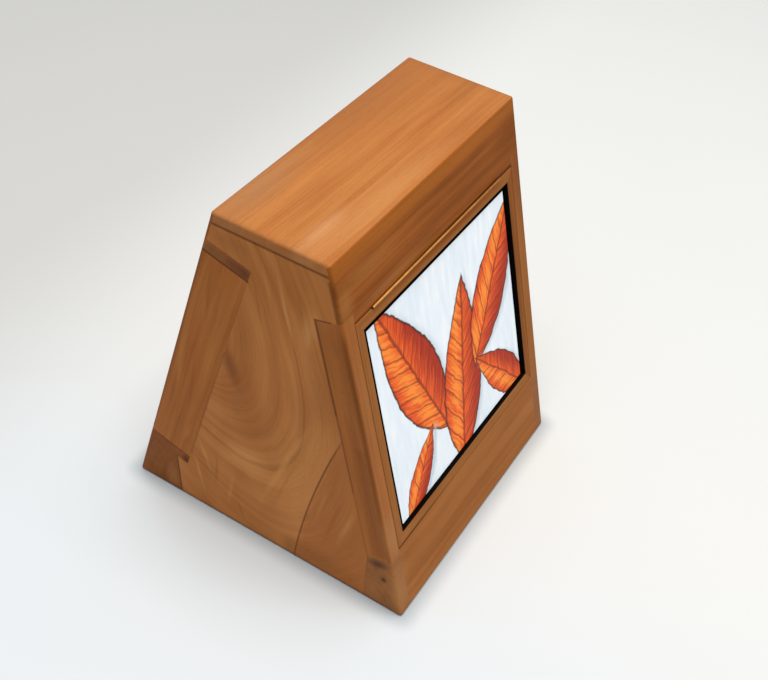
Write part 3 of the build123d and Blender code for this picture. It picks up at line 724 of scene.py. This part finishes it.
def pictureMaterial(name, picture):
    # Painted board under satin varnish: pale ground with long leaves
    material, tree = newMaterial(name)
    place = addNode(tree, "TexCoord", output="Object")
    mm = addNode(tree, "VectorMath", {"operation": "SCALE"}, {0: place, "Scale": 1000.0})
    # X across the panel and Y up the slope, in mm
    flat = addNode(tree, "Mapping", {}, {
        0: mm, "Location": (0, baseDepth / 2 * sin(slope), 0), "Rotation": toRadians(grainFront),
    })
    wide, long = picture["brush"]
    brushing = addNode(tree, "Mapping", {}, {
        0: flat, "Scale": (1 / wide, 1 / long, 1 / wide), "Rotation": (0, 0, picture["brushTurn"]),
    })
    brushing = addNode(tree, "TexNoise", {}, {0: brushing, "Scale": 1.0, "Detail": 4.0, "Roughness": 0.6})
    brushing = addNode(tree, "MapRange", {}, {0: brushing, **fromNoise, 3: 0.0, 4: 1.0})
    colour = addNode(tree, "Mix", mixed, {
        0: brushing, 6: toLinear(picture["ground"]), 7: toLinear(picture["groundPale"]),
    }, 2)
    # The painted edge is a little unsteady
    shake = addNode(tree, "TexNoise", {}, {
        0: flat, "Scale": 1 / picture["shakeSize"], "Detail": 3.0,
    }, "Color")
    shake = addNode(tree, "VectorMath", {"operation": "SUBTRACT"}, {0: shake, 1: (0.5, 0.5, 0.5)})
    drawn = addNode(tree, "VectorMath", {"operation": "MULTIPLY_ADD"}, {
        0: shake, 1: (picture["shake"], picture["shake"], 0), 2: flat,
    })
    for leaf in picture["leaves"]:
        colour = addLeaf(tree, colour, drawn, leaf, picture)
    # A thin black line is painted along the upper and left edges
    for axis, (start, end) in (("Y", picture["lineTop"]), ("X", picture["lineLeft"])):
        line = addNode(tree, "SeparateXYZ", {}, {0: flat}, axis)
        line = addNode(tree, "MapRange", {}, {0: line, 1: start, 2: end})
        colour = addNode(tree, "Mix", mixed, {0: line, 6: colour, 7: toLinear(picture["line"])}, 2)
    bump = addNode(tree, "Bump", {}, {
        "Strength": picture["bump"], "Distance": picture["relief"], "Height": brushing,
    })
    shader = addNode(tree, "BsdfPrincipled", {}, {
        "Base Color": colour, "Roughness": picture["rough"], "Normal": bump,
        "Specular IOR Level": picture["gloss"],
    })
    addNode(tree, "OutputMaterial", {}, {0: shader})
    return material


pictureSettings = {
    "ground": "#D9E5F0", "groundPale": "#EDF3F8", "line": "#050404",
    "lineTop": (245.4, 245.7), "lineLeft": (-94.6, -94.8),
    "brush": (7, 40), "brushTurn": 0.35,         # brush strokes' width and length in mm, turn in radians
    "shake": 4, "shakeSize": 9,                  # how far the edges stray, and over what length, in mm
    "rough": 0.46, "gloss": 0.1, "bump": 0.2, "relief": 0.00008,
    # middle in mm across and up the slope, turn, half length, half width
    "leaves": [
        (-52, 182, 24, 84, 27), (10, 138, -10, 82, 28), (66, 186, -34, 70, 25),
        (64, 100, 44, 52, 17), (-62, 94, -38, 40, 14),
    ],
    "edge": "#20100C", "bright": "#F28A30", "light": "#E2581A", "deep": "#A32A0C", "rib": "#6A200E",
    "shadow": "#A9B4C0",
    # in mm; the side veins' wave is for one radian, so they are 16 mm apart
    "strokeWidth": 3.5, "strokeLength": 18, "veinWave": 2.6, "shadowShift": 5,
    # how much fuller a leaf is from stalk to tip, and how much of the wave is vein
    "fuller": {1: -1.0, 2: 1.0, 3: 1.3, 4: 0.7}, "veins": {1: 0.86, 2: 1.0, 3: 0.0, 4: 0.55},
    # in half widths of a leaf
    "outline": {1: 0.0, 2: 0.05}, "inOutline": {1: 0.03, 2: 0.13},
    "midrib": {1: 0.02, 2: 0.07, 3: 0.7, 4: 0.0}, "shadowSoft": {1: -0.12, 2: 0.25, 3: 0.0, 4: 0.55},
    "lightSide": -0.35, "lightRange": {1: 0.0, 2: 0.35}, "deepRange": {1: 0.35, 2: 1.0},
    "strokeShade": 0.7,
}
dress("picture_panel", pictureMaterial("varnishedPicture", pictureSettings))
print("picture done")

# A pale backdrop for the camera and for reflections, that lights nothing
backdrop = "#E4E4E2"


def seenDirectly(tree):
    ray = tree.nodes.new("ShaderNodeLightPath").outputs
    seen = addNode(tree, "Math", {"operation": "ADD"}, {0: ray["Is Camera Ray"], 1: ray["Is Glossy Ray"]})
    return addNode(tree, "Math", {"operation": "ADD", "use_clamp": True}, {
        0: seen, 1: ray["Is Transmission Ray"],
    })


def paperMaterial(name, paper):
    # Matt paper, smooth: pale and faintly mottled, with no gloss to see
    material, tree = newMaterial(name)
    place = addNode(tree, "TexCoord", output="Object")
    left = addNode(tree, "SeparateXYZ", {}, {0: place}, "X")
    left = addNode(tree, "MapRange", smooth, {0: left, **paper["leftRange"]})
    # painted shade, greyer far off
    far = addNode(tree, "SeparateXYZ", {}, {0: place}, "Y")
    far = addNode(tree, "MapRange", smooth, {0: far, **paper["farRange"]})
    mottle = addNode(tree, "TexNoise", {}, {0: place, "Scale": paper["mottleScale"], "Detail": 2.0})
    # Painted contact shadow, by distance from the box's foot
    contactShade = addNode(tree, "VectorMath", {"operation": "ABSOLUTE"}, {0: place})
    contactShade = addNode(tree, "VectorMath", {"operation": "SUBTRACT"}, {0: contactShade, 1: paper["foot"]})
    contactShade = addNode(tree, "VectorMath", {"operation": "MAXIMUM"}, {0: contactShade, 1: (0.0, 0.0, 0.0)})
    contactShade = addNode(tree, "VectorMath", {"operation": "LENGTH"}, {0: contactShade}, "Value")
    contactShade = addNode(tree, "MapRange", smooth, {0: contactShade, **paper["contactShadeRange"]})
    colour = toLinear(paper["right"])
    for factor, blend, tint in (
        (left, mixed, toLinear(paper["left"])), (far, mixed, toLinear(paper["far"])),
        (mottle, multiplied, paper["mottleTint"]), (contactShade, multiplied, paper["contactShadeTint"]),
    ):
        colour = addNode(tree, "Mix", blend, {0: factor, 6: colour, 7: tint}, 2)
    shader = addNode(tree, "BsdfPrincipled", {}, {"Base Color": colour, "Roughness": 0.9})
    # Far off it turns into the backdrop
    beyond = addNode(tree, "VectorMath", {"operation": "LENGTH"}, {0: place}, "Value")
    beyond = addNode(tree, "MapRange", smooth, {0: beyond, **paper["beyondRange"]})
    beyond = addNode(tree, "Math", {"operation": "MULTIPLY"}, {0: beyond, 1: seenDirectly(tree)})
    glow = addNode(tree, "Emission", {}, {0: toLinear(backdrop), 1: 1.0})
    shader = addNode(tree, "MixShader", {}, {0: beyond, 1: shader, 2: glow})
    addNode(tree, "OutputMaterial", {}, {0: shader})
    return material


# Floor: cooler at the near left, with painted shade greyer far off and a painted contact shadow close to
# the box; in metres
floorPaper = {
    "size": 24.0, "right": "#C9CBCA", "left": "#C2C8CC", "leftRange": {1: 0.1, 2: -0.2},
    "far": "#B3B4B3", "farRange": {1: 0.16, 2: 0.42}, "beyondRange": {1: 1.25, 2: 2.4},
    "mottleTint": (0.97, 0.97, 0.98, 1.0), "mottleScale": 3.0,
    "foot": (0.118, 0.123, 0.0), "contactShadeTint": (0.64, 0.66, 0.68, 1.0), "contactShadeRange": {1: 0.018, 2: 0.0},
}
bpy.ops.object.select_all(action="DESELECT")
bpy.ops.mesh.primitive_plane_add(size=floorPaper["size"])
floor = bpy.context.object
floor.name = "floor"
floor.data.materials.append(paperMaterial("mattPaper", floorPaper))

# Soft studio light: a pale sky all round and one large softbox overhead
scene = bpy.context.scene
scene.view_settings.view_transform = "Standard"
sky = {"colour": "#F4F5F7", "strength": 0.60}
world = bpy.data.worlds.new("studio")
scene.world = world
world.use_nodes = True
worldTree = world.node_tree
worldTree.nodes.clear()
skyLight = addNode(worldTree, "Background", {}, {0: toLinear(sky["colour"]), 1: sky["strength"]})
skySeen = addNode(worldTree, "Background", {}, {0: toLinear(backdrop), 1: 1.0})
skyBoth = addNode(worldTree, "MixShader", {}, {0: seenDirectly(worldTree), 1: skyLight, 2: skySeen})
addNode(worldTree, "OutputWorld", {}, {0: skyBoth})

softbox = {"at": (-0.17, -0.30, 2.8), "turn": (6, -3.5, 0), "size": 1.8, "power": 98, "colour": "#FFFBF5"}
bpy.ops.object.light_add(type="AREA", location=softbox["at"], rotation=toRadians(softbox["turn"]))
light = bpy.context.object
light.name = "softbox"
light.data.shape = "SQUARE"
light.data.size = softbox["size"]
light.data.energy = softbox["power"]
light.data.color = toLinear(softbox["colour"])[:3]

cameraSettings = {
    "at": (-0.56501, -0.31658, 0.73863), "turn": (46.4039, -4.4584, -58.2888),
    "lens": 54.045, "sensor": 36, "clipStart": 0.01,
}
bpy.ops.object.camera_add(
    location=cameraSettings["at"], rotation=toRadians(cameraSettings["turn"]),
)
camera = bpy.context.object
camera.data.lens = cameraSettings["lens"]
camera.data.sensor_width = cameraSettings["sensor"]
camera.data.clip_start = cameraSettings["clipStart"]
scene.camera = camera
print("stage done")
